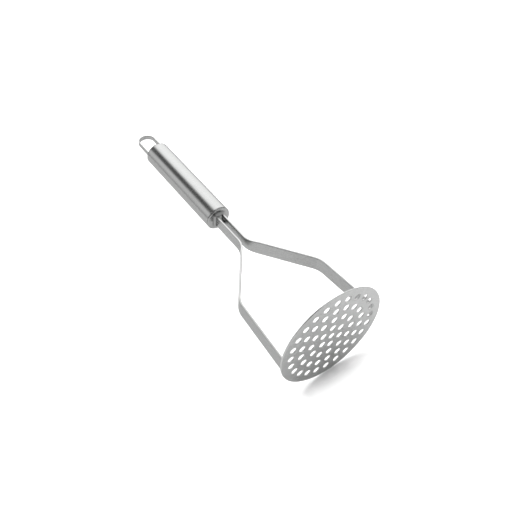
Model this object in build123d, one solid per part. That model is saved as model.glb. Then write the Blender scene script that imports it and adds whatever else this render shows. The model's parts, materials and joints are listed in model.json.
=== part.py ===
from build123d import *
import math
import os

# A potato masher of stainless steel, standing on its pressing disc.
# Units are millimetres. The origin is the centre of the disc's underside, +Z runs up the
# handle, and the two arms of the fork stand along X, the right arm on the +X side.

# Pressing disc
disc_diameter = 90.0
disc_thickness = 1.0
disc_edge_chamfer = 0.25
hole_diameter = 5.6
rim_margin = 5.8
ring_count = 4
holes_added_per_ring = 6

# Fork of two bent straps
fork_offset = -1.8
strap_thickness = 1.6
strap_width = 12.5
strap_edge_chamfer = 0.3
foot_inset = 0.4
foot_splay_angle = 4.0
lower_bend_height = 58.8
lower_bend_radius = 18.0
upper_bend_height = 106.8
upper_bend_radius = 16.0
neck_gap = 4.0
neck_width = 10.3
shoulder_below_bend = 8.0
shoulder_above_bend = 5.0
shoulder_round = 14.0
tang_length = 16.0

# Hollow handle, closed by a cap that is welded on each end of its tube
handle_front_height = 143.9
handle_length = 100.8
handle_diameter = 21.5
tube_wall = 0.8
cap_thickness = 1.2
cap_edge_chamfer = 0.8
slot_clearance = 0.15

# Hanging loop, a narrow strap bent to a U
loop_width = 15.8
loop_height = 26.3
loop_band_width = 4.0
loop_band_thickness = 1.3
loop_edge_chamfer = 0.3
loop_leg_inside = 5.0

# Weld beads with a hollow face, and the sloping one round the tangs
foot_weld_leg = 1.6
tang_weld_leg = 2.2
loop_weld_leg = 1.2
bead_hollow_share = 0.4
slope_angle = 45.0

# How far a trimming or cutting solid runs past what it meets
overrun = 2.0

# A strap's narrow sides face along Y by more than the first share, and its square ends
# face along Z by more than the second
side_face_share = 0.5
end_face_share = 0.99

# Sizes worked out from those above
disc_radius = disc_diameter / 2
hole_radius = hole_diameter / 2
outer_ring_radius = disc_radius - rim_margin - hole_radius
foot_reach = disc_radius - foot_inset - abs(fork_offset)
splay = math.radians(foot_splay_angle)
strap_half_across_splay = strap_thickness / 2 / math.cos(splay)
neck_reach = neck_gap / 2 + strap_thickness
handle_radius = handle_diameter / 2
bore_radius = handle_radius - tube_wall
handle_back_height = handle_front_height + handle_length
tube_start = handle_front_height + cap_thickness
tube_end = handle_back_height - cap_thickness
loop_outer_radius = loop_width / 2
loop_leg_reach = loop_outer_radius - loop_band_thickness / 2
loop_centre_height = handle_back_height + loop_height - loop_outer_radius


def arm_middle(height):
    """Reach of a lower arm's middle from the fork's axis, at a height above the floor."""
    return foot_reach - strap_half_across_splay - height * math.tan(splay)


def on_fork_axis(solid):
    """Moves a piece that was drawn round the Z axis to the axis of the fork and handle."""
    return Pos(fork_offset, 0, 0) * solid


def band_from_path(path, thickness, width):
    """A strap whose side view follows a path in the XZ plane."""
    side_view = trace(path.edges(), line_width=thickness)
    return extrude(Plane.XZ * side_view, amount=width / 2, both=True)


def break_long_edges(strap, size):
    """Takes the sharpness off the edges that run along a strap, where its sides meet."""
    broad_faces = [face for face in strap.faces() if abs(face.normal_at().Y) < side_face_share]
    side_faces = [face for face in strap.faces() if abs(face.normal_at().Y) > side_face_share]
    side_edges = [edge for face in side_faces for edge in face.edges()]
    broad_edges = [
        edge
        for face in broad_faces
        if not face.is_planar or abs(face.normal_at().Z) < end_face_share
        for edge in face.edges()
    ]
    return chamfer([edge for edge in side_edges if edge in broad_edges], length=size)


def make_disc():
    """The stamped disc. Each ring has six holes more than the one inside it."""
    places = [(0, 0)]
    for ring in range(1, ring_count + 1):
        hole_count = holes_added_per_ring * ring
        for turn in range(hole_count):
            angle = math.pi / 2 + 2 * math.pi * turn / hole_count
            radius = outer_ring_radius * ring / ring_count
            places.append((radius * math.cos(angle), radius * math.sin(angle)))
    holes = [Pos(x, y) * Circle(hole_radius) for x, y in places]
    plate = extrude(Circle(disc_radius) - holes, amount=disc_thickness)
    underside = plate.faces().sort_by(Axis.Z)[0]
    return chamfer(underside.outer_wire().edges(), length=disc_edge_chamfer)


def make_strap_outline():
    """The strap's outline before it is bent, drawn broad side on and narrower at the neck."""
    shoulder_low = upper_bend_height - shoulder_below_bend
    shoulder_high = upper_bend_height + shoulder_above_bend
    tang_end = tube_start + tang_length
    right_side = [
        (strap_width / 2, disc_thickness),
        (strap_width / 2, shoulder_low),
        (neck_width / 2, shoulder_high),
        (neck_width / 2, tang_end),
    ]
    left_side = [(-y, z) for y, z in reversed(right_side)]
    outline = make_face(Polyline(*right_side, *left_side, close=True))
    shoulders = [
        vertex
        for vertex in outline.vertices()
        if disc_thickness + overrun < vertex.Y < tang_end - overrun
    ]
    outline = fillet(shoulders, radius=shoulder_round)
    return extrude(Plane.YZ * outline, amount=foot_reach + overrun, both=True)


def make_arm(side):
    """One arm of the fork, with its foot on the disc. The side is 1 for right and -1 for left."""
    tang_end = tube_start + tang_length
    path = FilletPolyline(
        (side * arm_middle(-overrun), -overrun),
        (side * arm_middle(lower_bend_height), lower_bend_height),
        (side * (neck_reach - strap_thickness / 2), upper_bend_height),
        (side * (neck_reach - strap_thickness / 2), tang_end + overrun),
        radius=[lower_bend_radius, upper_bend_radius],
    )
    strap = band_from_path(path, strap_thickness, strap_width) & make_strap_outline()
    return on_fork_axis(break_long_edges(strap, strap_edge_chamfer))


def make_bead(corner, along_x, along_z, length):
    """A weld bead in a square corner, seen along Y, with a hollow face."""
    x, z = corner
    foot = (x + along_x[0], z + along_x[1])
    top = (x + along_z[0], z + along_z[1])
    hollow = (
        x + (along_x[0] + along_z[0]) * bead_hollow_share,
        z + (along_x[1] + along_z[1]) * bead_hollow_share,
    )
    outline = Line(corner, foot) + ThreePointArc(foot, hollow, top) + Line(top, corner)
    return extrude(Plane.XZ * make_face(outline), amount=length / 2, both=True)


def make_foot_welds():
    """The beads between the feet and the disc, each on the foot's +X side, clear of the holes."""
    lean = foot_weld_leg * math.tan(splay)
    length = strap_width - 2 * strap_edge_chamfer
    right_corner = arm_middle(disc_thickness) + strap_half_across_splay
    left_corner = strap_half_across_splay - arm_middle(disc_thickness)
    right = make_bead(
        (right_corner, disc_thickness), (foot_weld_leg, 0), (-lean, foot_weld_leg), length
    )
    left = make_bead(
        (left_corner, disc_thickness), (foot_weld_leg, 0), (lean, foot_weld_leg), length
    )
    return on_fork_axis(Compound([right, left]))


def make_cap(face_height, inward):
    """An end cap without its slots. Inward is 1 when the handle lies above its face, else -1."""
    blank = extrude(Pos(0, 0, face_height) * Circle(handle_radius), amount=inward * cap_thickness)
    rim = blank.edges().filter_by(GeomType.CIRCLE).sort_by_distance((0, 0, face_height))[0]
    return chamfer(rim, length=cap_edge_chamfer)


def make_slot(centre_x, size_x, size_y, face_height):
    """A cutting solid for a slot that is square to the handle's axis."""
    outline = Pos(centre_x, 0, face_height) * Rectangle(size_x, size_y)
    return extrude(outline, amount=cap_thickness + overrun, both=True)


def make_front_cap():
    """The cap that both tangs pass through, in one slot."""
    slot = make_slot(
        0,
        2 * (neck_reach + slot_clearance),
        neck_width + 2 * slot_clearance,
        handle_front_height,
    )
    return on_fork_axis(make_cap(handle_front_height, 1) - slot)


def make_rear_cap():
    """The cap that carries the hanging loop, with a slot for each of its legs."""
    cap = make_cap(handle_back_height, -1)
    for side in (1, -1):
        cap -= make_slot(
            side * loop_leg_reach,
            loop_band_thickness + 2 * slot_clearance,
            loop_band_width + 2 * slot_clearance,
            handle_back_height,
        )
    return on_fork_axis(cap)


def make_tube():
    """The grip tube, which runs from one cap to the other."""
    wall = Circle(handle_radius) - Circle(bore_radius)
    return on_fork_axis(Pos(0, 0, tube_start) * extrude(wall, amount=tube_end - tube_start))


def make_hanging_loop():
    """The loop at the end of the handle, with its legs through the rear cap."""
    leg_end = tube_end - loop_leg_inside
    path = (
        Line((-loop_leg_reach, leg_end), (-loop_leg_reach, loop_centre_height))
        + CenterArc((0, loop_centre_height), loop_leg_reach, 180, -180)
        + Line((loop_leg_reach, loop_centre_height), (loop_leg_reach, leg_end))
    )
    band = band_from_path(path, loop_band_thickness, loop_band_width)
    return on_fork_axis(break_long_edges(band, loop_edge_chamfer))


def make_tang_welds():
    """The bead round both arms, on the front cap's face, where they enter the handle."""
    foot = Rectangle(2 * (neck_reach + tang_weld_leg), neck_width + 2 * tang_weld_leg)
    slope = extrude(Pos(0, 0, handle_front_height) * foot, amount=-tang_weld_leg, taper=slope_angle)
    tangs = make_slot(0, 2 * neck_reach, neck_width, handle_front_height)
    return on_fork_axis(slope - tangs)


def make_loop_welds():
    """The beads inside the handle that hold the loop's legs to the rear cap."""
    inner_face = loop_leg_reach - loop_band_thickness / 2
    beads = [
        make_bead(
            (side * inner_face, tube_end),
            (-side * loop_weld_leg, 0),
            (0, -loop_weld_leg),
            loop_band_width - 2 * loop_edge_chamfer,
        )
        for side in (1, -1)
    ]
    return on_fork_axis(Compound(beads))


pieces = {
    "masher_disc": make_disc(),
    "left_arm": make_arm(-1),
    "right_arm": make_arm(1),
    "foot_welds": make_foot_welds(),
    "front_cap": make_front_cap(),
    "tang_welds": make_tang_welds(),
    "handle_tube": make_tube(),
    "rear_cap": make_rear_cap(),
    "loop_welds": make_loop_welds(),
    "hanging_loop": make_hanging_loop(),
}

os.makedirs("parts", exist_ok=True)
for node, solid in pieces.items():
    export_step(solid, f"parts/{node}.step")
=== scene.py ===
import json
import math

import bpy
from mathutils import Matrix, Vector


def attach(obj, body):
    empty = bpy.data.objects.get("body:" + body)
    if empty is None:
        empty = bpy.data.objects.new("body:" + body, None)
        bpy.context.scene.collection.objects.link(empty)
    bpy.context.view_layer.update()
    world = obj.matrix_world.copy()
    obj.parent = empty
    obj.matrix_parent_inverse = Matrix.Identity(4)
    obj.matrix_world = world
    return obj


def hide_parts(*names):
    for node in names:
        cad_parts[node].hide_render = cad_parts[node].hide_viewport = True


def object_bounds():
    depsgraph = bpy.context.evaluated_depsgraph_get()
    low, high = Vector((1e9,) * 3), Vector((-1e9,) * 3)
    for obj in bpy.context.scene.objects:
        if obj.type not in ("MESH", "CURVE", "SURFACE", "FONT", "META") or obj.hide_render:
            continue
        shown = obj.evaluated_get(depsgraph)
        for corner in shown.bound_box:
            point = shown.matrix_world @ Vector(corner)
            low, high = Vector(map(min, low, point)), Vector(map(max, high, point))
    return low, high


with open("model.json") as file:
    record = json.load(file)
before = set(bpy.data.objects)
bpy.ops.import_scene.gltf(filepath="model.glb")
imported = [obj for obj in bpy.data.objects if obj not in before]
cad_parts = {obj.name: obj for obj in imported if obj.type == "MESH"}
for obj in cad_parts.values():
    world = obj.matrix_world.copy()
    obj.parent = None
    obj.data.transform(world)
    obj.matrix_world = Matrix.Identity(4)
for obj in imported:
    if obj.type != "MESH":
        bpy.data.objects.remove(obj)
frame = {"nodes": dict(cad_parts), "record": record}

cad_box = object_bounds()

# Places and sizes are in metres, in the part's frame.
# The camera stands below the disc, on its near side, with no shift.
CAMERA_PLACE = Vector((-0.2281, -0.4003, -0.2026))
CAMERA_LOOKS = Vector((0.41618, 0.73143, 0.54019))
CAMERA_UP = Vector((0.40031, -0.68080, 0.61340))
CAMERA_NEAREST = 0.01
CAMERA_FARTHEST = 20.0
SENSOR_WIDTH = 36.0
FOCAL_PIXELS = 700.0
IMAGE_PIXELS = 512.0


def link_new(name, data):
    thing = bpy.data.objects.new(name, data)
    bpy.context.scene.collection.objects.link(thing)
    return thing


def add_camera():
    back = -CAMERA_LOOKS.normalized()
    right = CAMERA_UP.cross(back).normalized()
    up = back.cross(right)
    data = bpy.data.cameras.new("camera")
    data.sensor_width = SENSOR_WIDTH
    data.lens = SENSOR_WIDTH * FOCAL_PIXELS / IMAGE_PIXELS
    data.clip_start = CAMERA_NEAREST
    data.clip_end = CAMERA_FARTHEST
    camera = link_new("camera", data)
    turn = Matrix((right, up, back)).transposed().to_4x4()
    camera.matrix_world = Matrix.Translation(CAMERA_PLACE) @ turn
    bpy.context.scene.camera = camera


class Nodes:
    """A short way to add and join shader nodes."""

    def __init__(self, tree):
        self.tree = tree
        self.tree.nodes.clear()

    def add(self, kind, **settings):
        node = self.tree.nodes.new(kind)
        for name, value in settings.items():
            setattr(node, name, value)
        return node

    def join(self, source, target):
        self.tree.links.new(source, target)

    def feed(self, socket, value):
        if hasattr(value, "is_output"):
            self.join(value, socket)
        else:
            socket.default_value = value

    def math(self, operation, *values):
        node = self.add("ShaderNodeMath", operation=operation)
        for socket, value in zip(node.inputs, values):
            self.feed(socket, value)
        return node.outputs[0]

    def dot(self, vector, axis):
        node = self.add("ShaderNodeVectorMath", operation="DOT_PRODUCT")
        self.join(vector, node.inputs[0])
        node.inputs[1].default_value = axis
        return node.outputs["Value"]

    def scaled_length(self, vector, shares):
        """The length of a vector once each of its parts is multiplied by its share."""
        scaled = self.add("ShaderNodeVectorMath", operation="MULTIPLY")
        self.join(vector, scaled.inputs[0])
        scaled.inputs[1].default_value = shares
        length = self.add("ShaderNodeVectorMath", operation="LENGTH")
        self.join(scaled.outputs[0], length.inputs[0])
        return length.outputs["Value"]

    def ramp(self, value, low, high, to_low=0.0, to_high=1.0):
        node = self.add("ShaderNodeMapRange", interpolation_type="SMOOTHSTEP")
        self.join(value, node.inputs["Value"])
        node.inputs["From Min"].default_value = low
        node.inputs["From Max"].default_value = high
        self.feed(node.inputs["To Min"], to_low)
        self.feed(node.inputs["To Max"], to_high)
        return node.outputs["Result"]

    def mix_colours(self, share, first, second):
        node = self.add("ShaderNodeMix", data_type="RGBA")
        self.feed(node.inputs["Factor"], share)
        colours = [socket for socket in node.inputs if socket.type == "RGBA"]
        self.feed(colours[0], first)
        self.feed(colours[1], second)
        return [socket for socket in node.outputs if socket.type == "RGBA"][0]

    def mix_shaders(self, share, first, second):
        node = self.add("ShaderNodeMixShader")
        self.join(share, node.inputs["Fac"])
        self.join(first, node.inputs[1])
        self.join(second, node.inputs[2])
        return node.outputs["Shader"]

    def noise(self, place, scale, stretch, detail):
        sizer = self.add("ShaderNodeMapping")
        sizer.inputs["Scale"].default_value = stretch
        node = self.add("ShaderNodeTexNoise")
        node.inputs["Scale"].default_value = scale
        node.inputs["Detail"].default_value = detail
        self.join(place, sizer.inputs["Vector"])
        self.join(sizer.outputs["Vector"], node.inputs["Vector"])
        return node.outputs["Fac"]

    def show(self, shader, kind="ShaderNodeOutputMaterial"):
        out = self.add(kind)
        self.join(shader, out.inputs["Surface"])


# Steel finishes. The grain gives how much finer the scratches are along each axis than
# along their own length, and place says which coordinates they follow.
FINE = 16.0
EVEN = (1.0, 1.0, 1.0)
ALONG_X = (1.0, FINE, FINE)
ALONG_STRAP = (1.0, FINE, 1.0)
ROUND_Z = (1.0, 1.0, FINE)
FINISHES = {
    "disc_steel": {"colour": 0.585, "rough": 0.30, "grain": ALONG_X, "place": "Object"},
    "strap_steel": {"colour": 0.405, "rough": 0.27, "grain": ALONG_STRAP, "place": "UV"},
    "weld_steel": {"colour": 0.36, "rough": 0.38, "grain": EVEN, "place": "Object"},
    "cap_steel": {"colour": 0.40, "rough": 0.24, "grain": EVEN, "place": "Object"},
    "handle_steel": {"colour": 0.39, "rough": 0.22, "grain": ROUND_Z, "place": "Object"},
    "loop_steel": {"colour": 0.38, "rough": 0.12, "grain": ALONG_STRAP, "place": "UV"},
}
GRAIN_SCALE = 130.0
GRAIN_DETAIL = 6.0
GRAIN_DEPTH = 0.00001
GRAIN_STRENGTH = 0.12
CLOUD_SCALE = 45.0
CLOUD_DETAIL = 2.0
CLOUD_SPREAD = 0.02
NOISE_RANGE = (0.3, 0.7)
ROUGH_SPREAD = 0.03
COLOUR_SPREAD_SHARE = 0.03
STEEL_GREEN_SHARE = 1.006
EDGE_TINT = 0.75

# How far a highlight is drawn out across the scratches of the pieces that were turned
TURNED = {"cap_steel": 0.75, "handle_steel": 0.35}

# Cut faces are duller than the sheet, and they are painted paler than it: a painted
# highlight for the light that the walls of the disc's holes and the straps' narrow sides
# catch. Facing gives the normal's part along the axis where this starts and where it is
# full. Within is the distance from the disc's middle past which no hole lies.
CUT_FACES_DULL_AND_PAINTED_PALE = {
    "disc_steel": {"axis": "Z", "facing": (0.3, 0.1), "within": 0.042, "colour": 0.62, "rough": 0.50},
    "strap_steel": {"axis": "Y", "facing": (0.7, 0.9), "within": None, "colour": 0.50, "rough": 0.30},
}


def grey(value, green_share=1.0):
    return (value, value * green_share, value, 1.0)


def dull_and_painted_pale_share(nodes, coordinates, look):
    """How far a place belongs to a cut face, from 0 to 1: this sets the duller roughness and the
    painted highlight, a paler colour.
    """
    split = nodes.add("ShaderNodeSeparateXYZ")
    nodes.join(coordinates.outputs["Normal"], split.inputs[0])
    facing = nodes.math("ABSOLUTE", split.outputs[look["axis"]])
    share = nodes.ramp(facing, *look["facing"])
    if look["within"] is not None:
        reach = nodes.scaled_length(coordinates.outputs["Object"], (1.0, 1.0, 0.0))
        share = nodes.math("MULTIPLY", share, nodes.math("LESS_THAN", reach, look["within"]))
    return share


def make_steel(slot, finish):
    """Brushed steel: fine scratches in the bump and roughness, and a slow cloudy variation."""
    material = bpy.data.materials.new(slot)
    material.use_nodes = True
    nodes = Nodes(material.node_tree)
    shader = nodes.add("ShaderNodeBsdfPrincipled")
    shader.inputs["Metallic"].default_value = 1.0
    shader.inputs["Specular Tint"].default_value = grey(EDGE_TINT)
    coordinates = nodes.add("ShaderNodeTexCoord")
    place = coordinates.outputs[finish["place"]]
    grain = nodes.noise(place, GRAIN_SCALE, finish["grain"], GRAIN_DETAIL)
    cloud = nodes.noise(place, CLOUD_SCALE, EVEN, CLOUD_DETAIL)
    smoothest = finish["rough"] - ROUGH_SPREAD
    roughest = finish["rough"] + ROUGH_SPREAD
    rough = nodes.math(
        "ADD",
        nodes.ramp(grain, *NOISE_RANGE, smoothest, roughest),
        nodes.ramp(cloud, *NOISE_RANGE, -CLOUD_SPREAD, CLOUD_SPREAD),
    )
    colour = nodes.mix_colours(
        nodes.ramp(grain, *NOISE_RANGE),
        grey(finish["colour"] * (1 - COLOUR_SPREAD_SHARE), STEEL_GREEN_SHARE),
        grey(finish["colour"] * (1 + COLOUR_SPREAD_SHARE), STEEL_GREEN_SHARE),
    )
    # Painted highlight: cut faces get a paler colour for the light they catch; their greater roughness
    # is real.
    if slot in CUT_FACES_DULL_AND_PAINTED_PALE:
        look = CUT_FACES_DULL_AND_PAINTED_PALE[slot]
        cut = dull_and_painted_pale_share(nodes, coordinates, look)
        colour = nodes.mix_colours(cut, colour, grey(look["colour"], STEEL_GREEN_SHARE))
        rough = nodes.ramp(cut, 0.0, 1.0, rough, look["rough"])
    nodes.join(colour, shader.inputs["Base Color"])
    nodes.join(rough, shader.inputs["Roughness"])
    bump = nodes.add("ShaderNodeBump")
    bump.inputs["Strength"].default_value = GRAIN_STRENGTH
    bump.inputs["Distance"].default_value = GRAIN_DEPTH
    nodes.join(grain, bump.inputs["Height"])
    nodes.join(bump.outputs["Normal"], shader.inputs["Normal"])
    if slot in TURNED:
        shader.inputs["Anisotropic"].default_value = TURNED[slot]
        tangent = nodes.add("ShaderNodeTangent", direction_type="RADIAL", axis="Z")
        nodes.join(tangent.outputs["Tangent"], shader.inputs["Tangent"])
    nodes.show(shader.outputs["BSDF"])
    return material


steels = {slot: make_steel(slot, finish) for slot, finish in FINISHES.items()}

# Rounding of the frame's own pieces: how wide it is, and in how many steps
ROUNDINGS = {
    "masher_disc": (0.00012, 2),
    "front_cap": (0.00030, 3),
    "rear_cap": (0.00030, 3),
}
MERGE_WITHIN = 0.000002
SHARP_ANGLE = math.radians(30.0)


def soften(thing, width, segments):
    """Rounds the sharp edges of a piece of the frame by a small width."""
    weld = thing.modifiers.new("join_faces", "WELD")
    weld.merge_threshold = MERGE_WITHIN
    bevel = thing.modifiers.new("round_edges", "BEVEL")
    bevel.limit_method = "ANGLE"
    bevel.angle_limit = SHARP_ANGLE
    bevel.width = width
    bevel.segments = segments
    bevel.harden_normals = True
    bevel.use_clamp_overlap = True


def dress_nodes():
    slots = {part["node"]: part["material_slot"] for part in frame["record"]["subparts"]}
    for name, thing in frame["nodes"].items():
        for holder in thing.material_slots:
            holder.material = steels[slots[name]]
    for name, (width, segments) in ROUNDINGS.items():
        soften(frame["nodes"][name], width, segments)


# Places that the straps, the tube and the welds share, and helpers for their meshes
FORK_X = -0.0018
DISC_TOP = 0.0010
CAP_FACE = 0.1439
TUBE_START = 0.1451
TUBE_END = 0.2435
CORNER_SIDES = ((1, 1), (-1, 1), (-1, -1), (1, -1))
QUARTER = math.radians(90.0)
LARGE_FACE_WEIGHT = 80


def quarter_turn(quarter, steps):
    """Cosine and sine at even steps through one quarter of a turn."""
    angles = [QUARTER * (quarter + i / steps) for i in range(steps + 1)]
    return [(math.cos(angle), math.sin(angle)) for angle in angles]


def join_rings(start, count, size, closed=False):
    """Faces between rings of points. A closed row ends where it starts, and its rings are
    drawn the other way round, so its faces are turned over."""
    faces = []
    for i in range(count if closed else count - 1):
        here = start + i * size
        there = start + (i + 1) % count * size
        for k in range(size):
            after = (k + 1) % size
            if closed:
                faces.append((here + k, there + k, there + after, here + after))
            else:
                faces.append((here + k, here + after, there + after, there + k))
    return faces


def end_faces(start, count, size):
    """The faces that close the first and the last ring of an open row."""
    last = start + (count - 1) * size
    return [tuple(reversed(range(start, start + size))), tuple(range(last, last + size))]


def link_mesh(name, vertices, faces, flat_faces, slot):
    mesh = bpy.data.meshes.new(name)
    mesh.from_pydata(vertices, [], faces)
    mesh.update()
    mesh.polygons.foreach_set("use_smooth", [True] * len(mesh.polygons))
    for index in flat_faces:
        mesh.polygons[index].use_smooth = False
    mesh.materials.append(steels[slot])
    piece = link_new(name, mesh)
    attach(piece, "root")
    return piece


def level_normals(piece):
    """Lets the large faces set the shading, so that they look flat up to the rounded edges."""
    level = piece.modifiers.new("flat_faces_first", "WEIGHTED_NORMAL")
    level.weight = LARGE_FACE_WEIGHT
    level.keep_sharp = True


# Straps, with the places and sizes that the part has
STRAP_THICKNESS = 0.0016
STRAP_HALF_WIDTH = 0.00625
STRAP_EDGE = 0.00045
NECK_HALF_WIDTH = 0.00515
NECK_MIDDLE = 0.0028
SHOULDER_LOW = 0.0988
SHOULDER_HIGH = 0.1118
FOOT_REACH = 0.0428
FOOT_SPLAY = math.radians(4.0)
LOWER_BEND_HEIGHT = 0.0588
LOWER_BEND_RADIUS = 0.018
UPPER_BEND_HEIGHT = 0.1068
UPPER_BEND_RADIUS = 0.016
TANG_END = 0.1611
PATH_STEP = 0.002
ARC_STEP = math.radians(3.0)
CORNER_STEPS = 5

# Where the back of a strap starts when it is laid out flat, clear of its front
BACK_START = 0.03


def line_places(start, end):
    count = max(1, math.ceil((end - start).length / PATH_STEP))
    return [start.lerp(end, i / count) for i in range(count)]


def rounded_path(corners, radii):
    """Places on a line through corners in the XZ plane, with its inner corners rounded."""
    corners = [Vector(c) for c in corners]
    places = []
    start = corners[0]
    for corner, after, radius in zip(corners[1:], corners[2:], radii):
        before = (corner - start).normalized()
        onward = (after - corner).normalized()
        turn = before.angle(onward)
        cut = radius * math.tan(turn / 2)
        arc_start = corner - before * cut
        arc_end = corner + onward * cut
        middle = corner + (onward - before).normalized() * radius / math.cos(turn / 2)
        places += line_places(start, arc_start)
        count = math.ceil(turn / ARC_STEP)
        first = arc_start - middle
        last = arc_end - middle
        for i in range(count):
            share = i / count
            spoke = first * math.sin((1 - share) * turn) + last * math.sin(share * turn)
            places.append(middle + spoke / math.sin(turn))
        start = arc_end
    return places + line_places(start, corners[-1]) + [corners[-1]]


def rounded_outline(half_thickness, half_width, radius):
    """The strap's cross-section: a rectangle with rounded corners."""
    points = []
    for quarter, (side, end) in enumerate(CORNER_SIDES):
        for cosine, sine in quarter_turn(quarter, CORNER_STEPS):
            points.append((
                side * (half_thickness - radius) + radius * cosine,
                end * (half_width - radius) + radius * sine,
            ))
    return points


def add_strap_uv(mesh, path, size):
    """Lays the strap out flat, in metres: length along U and the way round it along V."""
    lengths = [0.0]
    for before, after in zip(path, path[1:]):
        lengths.append(lengths[-1] + (after - before).length)
    layer = mesh.uv_layers.new(name="flat")
    for loop in mesh.loops:
        ring, turn = divmod(loop.vertex_index, size)
        place = mesh.vertices[loop.vertex_index].co
        on_front = turn < size / 4 or turn >= 3 * size / 4
        reach = place.y if on_front else BACK_START - place.y
        layer.data[loop.index].uv = (lengths[ring], reach)


def sweep(name, path, thickness, half_width_at, edge, slot, level_ends):
    """A strap of rounded section along a path in the XZ plane, centred on Y."""
    vertices = []
    for i, place in enumerate(path):
        before = path[max(i - 1, 0)]
        after = path[min(i + 1, len(path) - 1)]
        along = (after - before).normalized()
        across = Vector((along.y, -along.x))
        outline = rounded_outline(thickness / 2, half_width_at(place.y), edge)
        for u, v in outline:
            spot = place + across * u
            if level_ends and i in (0, len(path) - 1):
                spot = spot + along * ((place.y - spot.y) / along.y)
            vertices.append((spot.x, v, spot.y))
    size = len(outline)
    faces = join_rings(0, len(path), size)
    ends = end_faces(0, len(path), size)
    flat_faces = range(len(faces), len(faces) + len(ends))
    piece = link_mesh(name, vertices, faces + ends, flat_faces, slot)
    add_strap_uv(piece.data, path, size)
    level_normals(piece)
    return piece


def arm_half_width(height):
    share = (height - SHOULDER_LOW) / (SHOULDER_HIGH - SHOULDER_LOW)
    share = min(max(share, 0.0), 1.0)
    return STRAP_HALF_WIDTH + (NECK_HALF_WIDTH - STRAP_HALF_WIDTH) * share


def lower_reach(height):
    """Reach of a lower arm's middle from the fork's axis, at a height above the floor."""
    half_across_splay = STRAP_THICKNESS / 2 / math.cos(FOOT_SPLAY)
    return FOOT_REACH - half_across_splay - height * math.tan(FOOT_SPLAY)


def add_arm(side, name):
    """One arm of the fork. The side is 1 for right and -1 for left."""
    corners = [
        (FORK_X + side * lower_reach(DISC_TOP), DISC_TOP),
        (FORK_X + side * lower_reach(LOWER_BEND_HEIGHT), LOWER_BEND_HEIGHT),
        (FORK_X + side * NECK_MIDDLE, UPPER_BEND_HEIGHT),
        (FORK_X + side * NECK_MIDDLE, TANG_END),
    ]
    piece = sweep(
        name + "_strap",
        rounded_path(corners, (LOWER_BEND_RADIUS, UPPER_BEND_RADIUS)),
        STRAP_THICKNESS,
        arm_half_width,
        STRAP_EDGE,
        "strap_steel",
        level_ends=True,
    )
    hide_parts(name)


# The hanging loop. Its arc is centred a hair lower than the part's, inside the part's box.
LOOP_REACH = 0.00725
LOOP_CENTRE = 0.26309
LOOP_THICKNESS = 0.0013
LOOP_HALF_WIDTH = 0.0020
LOOP_EDGE = 0.00040
LOOP_LEG_INSIDE = 0.0050
LOOP_STEPS = 60


def add_loop():
    leg_end = TUBE_END - LOOP_LEG_INSIDE
    first = Vector((FORK_X - LOOP_REACH, leg_end))
    last = Vector((FORK_X + LOOP_REACH, leg_end))
    arc = []
    for i in range(LOOP_STEPS + 1):
        angle = math.pi * (1 - i / LOOP_STEPS)
        reach = LOOP_REACH * math.cos(angle)
        arc.append(Vector((FORK_X + reach, LOOP_CENTRE + LOOP_REACH * math.sin(angle))))
    piece = sweep(
        "hanging_loop_strap",
        line_places(first, arc[0]) + arc + line_places(arc[-1], last)[1:] + [last],
        LOOP_THICKNESS,
        lambda height: LOOP_HALF_WIDTH,
        LOOP_EDGE,
        "loop_steel",
        level_ends=False,
    )
    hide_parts("hanging_loop")


# The grip tube
TUBE_RADIUS = 0.01075
TUBE_BORE_RADIUS = 0.00995
TUBE_EDGE = 0.00015
TUBE_EDGE_STEPS = 3
TUBE_SIDES = 160


def tube_outline():
    """The tube's wall cut lengthwise: radius and height round it, with rounded edges."""
    middle_r = (TUBE_RADIUS + TUBE_BORE_RADIUS) / 2
    middle_z = (TUBE_START + TUBE_END) / 2
    outline = []
    for quarter, (out, up) in enumerate(CORNER_SIDES):
        centre_r = middle_r + out * ((TUBE_RADIUS - TUBE_BORE_RADIUS) / 2 - TUBE_EDGE)
        centre_z = middle_z + up * ((TUBE_END - TUBE_START) / 2 - TUBE_EDGE)
        arc = [
            (centre_r + TUBE_EDGE * cosine, centre_z + TUBE_EDGE * sine)
            for cosine, sine in quarter_turn(quarter, TUBE_EDGE_STEPS)
        ]
        # A ring a little way along each side keeps the side's own normals straight.
        side = (centre_r + out * TUBE_EDGE, centre_z - up * 2 * TUBE_EDGE)
        outline += [side] + arc if out * up > 0 else arc + [side]
    return outline


def add_tube():
    """The grip tube, turned round the handle's axis."""
    outline = tube_outline()
    vertices = []
    for i in range(TUBE_SIDES):
        angle = 2 * math.pi * i / TUBE_SIDES
        for r, z in outline:
            vertices.append((FORK_X + r * math.cos(angle), r * math.sin(angle), z))
    faces = join_rings(0, TUBE_SIDES, len(outline), closed=True)
    piece = link_mesh("handle_tube_turned", vertices, faces, (), "handle_steel")
    level_normals(piece)
    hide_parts("handle_tube")


# Weld beads: how wide they are, and how they swell along their length
RIPPLE_LENGTH = 0.0011
RIPPLE_DEPTH_SHARE = 0.10
BEAD_STEPS = 8
BEAD_SIZE = BEAD_STEPS + 2
FOOT_WELD_LEG = 0.0016
FOOT_WELD_HALF_LENGTH = 0.0059
FOOT_WELD_STEPS = 66
FOOT_WELD_END_SHARE = 0.05
FOOT_WELD_END_POWER = 8
NECK_WELD_LEG = 0.0022
NECK_WELD_BULGE_SHARE = 0.14
NECK_CORNER = 0.0006
NECK_CORNER_STEPS = 8
NECK_STEP = 0.0002
FILL_DEPTH = 0.0012
FILL_MIDDLE_SHARE = 0.5
FILL_ROWS = 12
FILL_COLUMNS = 6


def ripple(distance):
    """The swell of a bead: rounded scales, one after the other."""
    share = (distance / RIPPLE_LENGTH) % 1.0
    return 1.0 - RIPPLE_DEPTH_SHARE * (1.0 - math.sin(math.pi * share))


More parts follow.
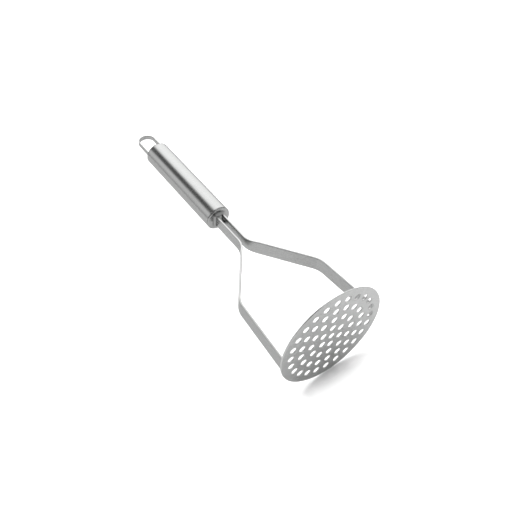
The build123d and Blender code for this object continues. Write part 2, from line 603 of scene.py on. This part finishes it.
def bead_profile(leg, swell, bulge):
    """How far out and up a bead's face lies from its corner, from its foot to its top."""
    places = []
    for i in range(BEAD_STEPS + 1):
        share = i / BEAD_STEPS
        bow = math.sin(math.pi * share) * bulge
        places.append(((1 - share + bow) * leg * swell, (share + bow) * leg * swell))
    return places


def add_foot_welds():
    """A rippled bead along the +X side of each foot, on the disc's upper face."""
    vertices = []
    faces = []
    half = STRAP_THICKNESS / 2 / math.cos(FOOT_SPLAY)
    rings = FOOT_WELD_STEPS + 1
    for side in (1, -1):
        corner_x = FORK_X + side * lower_reach(DISC_TOP) + half
        lean = -side * math.tan(FOOT_SPLAY)
        start = len(vertices)
        for i in range(rings):
            y = FOOT_WELD_HALF_LENGTH * (2 * i / FOOT_WELD_STEPS - 1)
            taper = 1 - abs(y / FOOT_WELD_HALF_LENGTH) ** FOOT_WELD_END_POWER
            ends = math.sqrt(max(FOOT_WELD_END_SHARE, taper))
            swell = ripple(y + FOOT_WELD_HALF_LENGTH) * ends
            for out, up in bead_profile(FOOT_WELD_LEG, swell, 0.0):
                vertices.append((corner_x + out + lean * up, y, DISC_TOP + up))
            vertices.append((corner_x, y, DISC_TOP))
        faces += join_rings(start, rings, BEAD_SIZE) + end_faces(start, rings, BEAD_SIZE)
    piece = link_mesh("foot_weld_beads", vertices, faces, (), "weld_steel")
    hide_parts("foot_welds")


def neck_outline():
    """Places round both arms at the neck, with the direction out from them."""
    half_x = NECK_MIDDLE + STRAP_THICKNESS / 2 - NECK_CORNER
    half_y = NECK_HALF_WIDTH - NECK_CORNER
    centres = [Vector((side * half_x, end * half_y)) for side, end in CORNER_SIDES]
    places = []
    for quarter, centre in enumerate(centres):
        for cosine, sine in quarter_turn(quarter, NECK_CORNER_STEPS):
            out = Vector((cosine, sine))
            places.append((centre + out * NECK_CORNER, out))
        begin, straight = places[-1]
        end = centres[(quarter + 1) % len(centres)] + straight * NECK_CORNER
        steps = math.ceil((end - begin).length / NECK_STEP)
        for i in range(1, steps):
            places.append((begin.lerp(end, i / steps), straight))
    return places


def neck_fill(start):
    """Weld metal in the gap between the arms, hollow in its middle."""
    vertices = []
    faces = []
    for i in range(FILL_ROWS + 1):
        y = NECK_HALF_WIDTH * (2 * i / FILL_ROWS - 1)
        for k in range(FILL_COLUMNS + 1):
            share = 2 * k / FILL_COLUMNS - 1
            x = share * (NECK_MIDDLE - STRAP_THICKNESS / 2)
            drop = FILL_DEPTH * (FILL_MIDDLE_SHARE + (1 - FILL_MIDDLE_SHARE) * share * share)
            vertices.append((FORK_X + x, y, CAP_FACE - drop))
    row = FILL_COLUMNS + 1
    for i in range(FILL_ROWS):
        for k in range(FILL_COLUMNS):
            a = start + i * row + k
            faces.append((a, a + row, a + row + 1, a + 1))
    return vertices, faces


def add_neck_weld():
    """The rippled bead round both arms where they enter the handle."""
    outline = neck_outline()
    vertices = []
    distance = 0.0
    before = outline[0][0]
    for place, out in outline:
        distance += (place - before).length
        before = place
        for reach, drop in bead_profile(NECK_WELD_LEG, ripple(distance), NECK_WELD_BULGE_SHARE):
            spot = place + out * reach
            vertices.append((FORK_X + spot.x, spot.y, CAP_FACE - drop))
        vertices.append((FORK_X + place.x, place.y, CAP_FACE))
    faces = join_rings(0, len(outline), BEAD_SIZE, closed=True)
    fill_vertices, fill_faces = neck_fill(len(vertices))
    piece = link_mesh(
        "neck_weld_bead", vertices + fill_vertices, faces + fill_faces, (), "weld_steel"
    )
    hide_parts("tang_welds")


# The studio as the steel sees it. Each stop is an angle in degrees from the camera's side,
# positive to the camera's right, and the light that comes from there. Below LOW_Z, as a
# part of a direction, a plain low light takes over and the stops keep only a share.
CAMERA_SIDE = Vector((-0.492, -0.870, 0.0))
CAMERA_RIGHT = Vector((0.870, -0.492, 0.0))
UP = Vector((0.0, 0.0, 1.0))
STUDIO_STOPS = (
    (-180, 0.68), (-134, 0.70), (-98, 0.80), (-72, 0.62), (-52, 1.15), (-31, 1.20), (-15, 0.17),
    (12, 0.15), (30, 1.95), (60, 2.25), (110, 2.10), (140, 1.60), (165, 0.75), (180, 0.68),
)
LOW_LIGHT = 0.20
LOW_SHARE = 0.25
LOW_Z = 0.38
HIGH_Z = 0.57


def add_bands(nodes, turn, top):
    """The light of the stops, as a share of the brightest one."""
    bands = nodes.add("ShaderNodeValToRGB")
    stops = bands.color_ramp.elements
    stops.remove(stops[0])
    for i, (degrees, level) in enumerate(STUDIO_STOPS):
        share = degrees / 360 + 0.5
        stop = stops[0] if i == 0 else stops.new(share)
        stop.position = share
        stop.color = grey(level / top)
    nodes.join(turn, bands.inputs["Fac"])
    return bands.outputs["Color"]


def add_world():
    """The studio that lights the steel, with plain white behind the object for the camera."""
    world = bpy.data.worlds.new("studio")
    bpy.context.scene.world = world
    world.use_nodes = True
    nodes = Nodes(world.node_tree)
    direction = nodes.add("ShaderNodeTexCoord").outputs["Generated"]
    across = nodes.dot(direction, CAMERA_RIGHT)
    towards = nodes.dot(direction, CAMERA_SIDE)
    angle = nodes.math("ARCTAN2", across, towards)
    turn = nodes.math("MULTIPLY_ADD", angle, 0.5 / math.pi, 0.5)
    top = max(level for _, level in STUDIO_STOPS)
    bands = add_bands(nodes, turn, top)
    low = nodes.mix_colours(LOW_SHARE, grey(LOW_LIGHT / top), bands)
    height = nodes.ramp(nodes.dot(direction, UP), LOW_Z, HIGH_Z)
    studio = nodes.add("ShaderNodeBackground")
    nodes.join(nodes.mix_colours(height, low, bands), studio.inputs["Color"])
    studio.inputs["Strength"].default_value = top
    white = nodes.add("ShaderNodeBackground")
    white.inputs["Color"].default_value = grey(1.0)
    seen = nodes.add("ShaderNodeLightPath").outputs["Is Camera Ray"]
    mix = nodes.mix_shaders(seen, studio.outputs["Background"], white.outputs["Background"])
    nodes.show(mix, "ShaderNodeOutputWorld")


# The floor that the masher lies over: it touches the disc's far rim and falls away
# from the handle. It is seen from its upper side alone, so it never hides the object.
FLOOR_LEAN = math.radians(12.0)
FLOOR_SIZE = 4.0
FLOOR_GAP = 0.0005
FLOOR_COLOUR = 0.68
FLOOR_LIFT_SEEN = 0.58
# Painted shadow by the rim's touch: the glow left there, how far it reaches, its share along the rim,
# and how far above the touch it fades in
FLOOR_LIFT_IN_PAINTED_SHADOW = 0.10
FLOOR_LIFT_MIRRORED = 0.05
PAINTED_SHADOW_REACH = 0.018
PAINTED_SHADOW_NARROWING_SHARE = 0.3
TOUCH_TURN = math.radians(5.0)
PAINTED_SHADOW_ABOVE = 0.0045


def floor_glow_with_painted_shadow(nodes, spot, touch):
    """How white the floor shows by itself. This thins out where the rim touches the floor, which paints
    a shadow there on top of the real cast shadow.
    """
    rays = nodes.add("ShaderNodeLightPath")
    mirrored = nodes.math("MAXIMUM", rays.outputs["Is Glossy Ray"], rays.outputs["Is Transmission Ray"])
    mirrored = nodes.math("MULTIPLY", mirrored, FLOOR_LIFT_MIRRORED)
    below = nodes.dot(spot, -UP)
    from_touch = nodes.add("ShaderNodeVectorMath", operation="SUBTRACT")
    nodes.join(spot, from_touch.inputs[0])
    from_touch.inputs[1].default_value = touch
    narrowing = (PAINTED_SHADOW_NARROWING_SHARE, PAINTED_SHADOW_NARROWING_SHARE, 1.0)
    away = nodes.scaled_length(from_touch.outputs[0], narrowing)
    # Painted shadow: the glow thins towards the rim's touch, so the floor there shows darker.
    painted_contact_shadow = nodes.ramp(away, 0.0, PAINTED_SHADOW_REACH, FLOOR_LIFT_IN_PAINTED_SHADOW, FLOOR_LIFT_SEEN)
    lift = nodes.ramp(below, -PAINTED_SHADOW_ABOVE, 0.0, FLOOR_LIFT_SEEN, painted_contact_shadow)
    seen = nodes.math("MULTIPLY", rays.outputs["Is Camera Ray"], lift)
    return nodes.math("ADD", seen, mirrored)


def make_floor_with_painted_shadow(touch):
    material = bpy.data.materials.new("floor_white_painted_shadow")
    material.use_nodes = True
    nodes = Nodes(material.node_tree)
    paint = nodes.add("ShaderNodeBsdfDiffuse")
    paint.inputs["Color"].default_value = grey(FLOOR_COLOUR)
    surface = nodes.add("ShaderNodeNewGeometry")
    glow = nodes.add("ShaderNodeEmission")
    # The glow carries the painted shadow by the rim's touch.
    nodes.join(floor_glow_with_painted_shadow(nodes, surface.outputs["Position"], touch), glow.inputs["Strength"])
    lit = nodes.add("ShaderNodeAddShader")
    nodes.join(paint.outputs["BSDF"], lit.inputs[0])
    nodes.join(glow.outputs["Emission"], lit.inputs[1])
    clear = nodes.add("ShaderNodeBsdfTransparent")
    nodes.show(nodes.mix_shaders(
        surface.outputs["Backfacing"], lit.outputs["Shader"], clear.outputs["BSDF"]
    ))
    return material


def add_floor():
    outward = Vector((math.sin(TOUCH_TURN), math.cos(TOUCH_TURN), 0.0))
    touch = outward * (cad_box[1].y + FLOOR_GAP)
    half = FLOOR_SIZE / 2
    along = outward * math.sin(FLOOR_LEAN) + UP * math.cos(FLOOR_LEAN)
    across = Vector((math.cos(TOUCH_TURN), -math.sin(TOUCH_TURN), 0.0))
    signs = ((-1, -1), (-1, 1), (1, 1), (1, -1))
    corners = [touch + across * x * half + along * z * half for x, z in signs]
    mesh = bpy.data.meshes.new("floor")
    mesh.from_pydata(corners, [], [(3, 2, 1, 0)])
    mesh.materials.append(make_floor_with_painted_shadow(touch))
    link_new("floor", mesh)


# The key light: broad and soft, from above the floor on the handle's side
KEY_FROM = Vector((-0.25, -0.90, 0.36))
KEY_STRENGTH = 2.40
KEY_ANGLE = math.radians(38.0)


def add_lamp():
    data = bpy.data.lights.new("key", "SUN")
    data.energy = KEY_STRENGTH
    data.angle = KEY_ANGLE
    lamp = link_new("key", data)
    lamp.location = KEY_FROM
    lamp.rotation_mode = "QUATERNION"
    lamp.rotation_quaternion = (-KEY_FROM).to_track_quat("-Z", "Y")
    lamp.visible_glossy = False


add_camera()
dress_nodes()
add_arm(-1, "left_arm")
add_arm(1, "right_arm")
add_tube()
add_loop()
add_foot_welds()
add_neck_weld()
add_world()
add_floor()
add_lamp()
bpy.context.scene.view_settings.view_transform = "Standard"
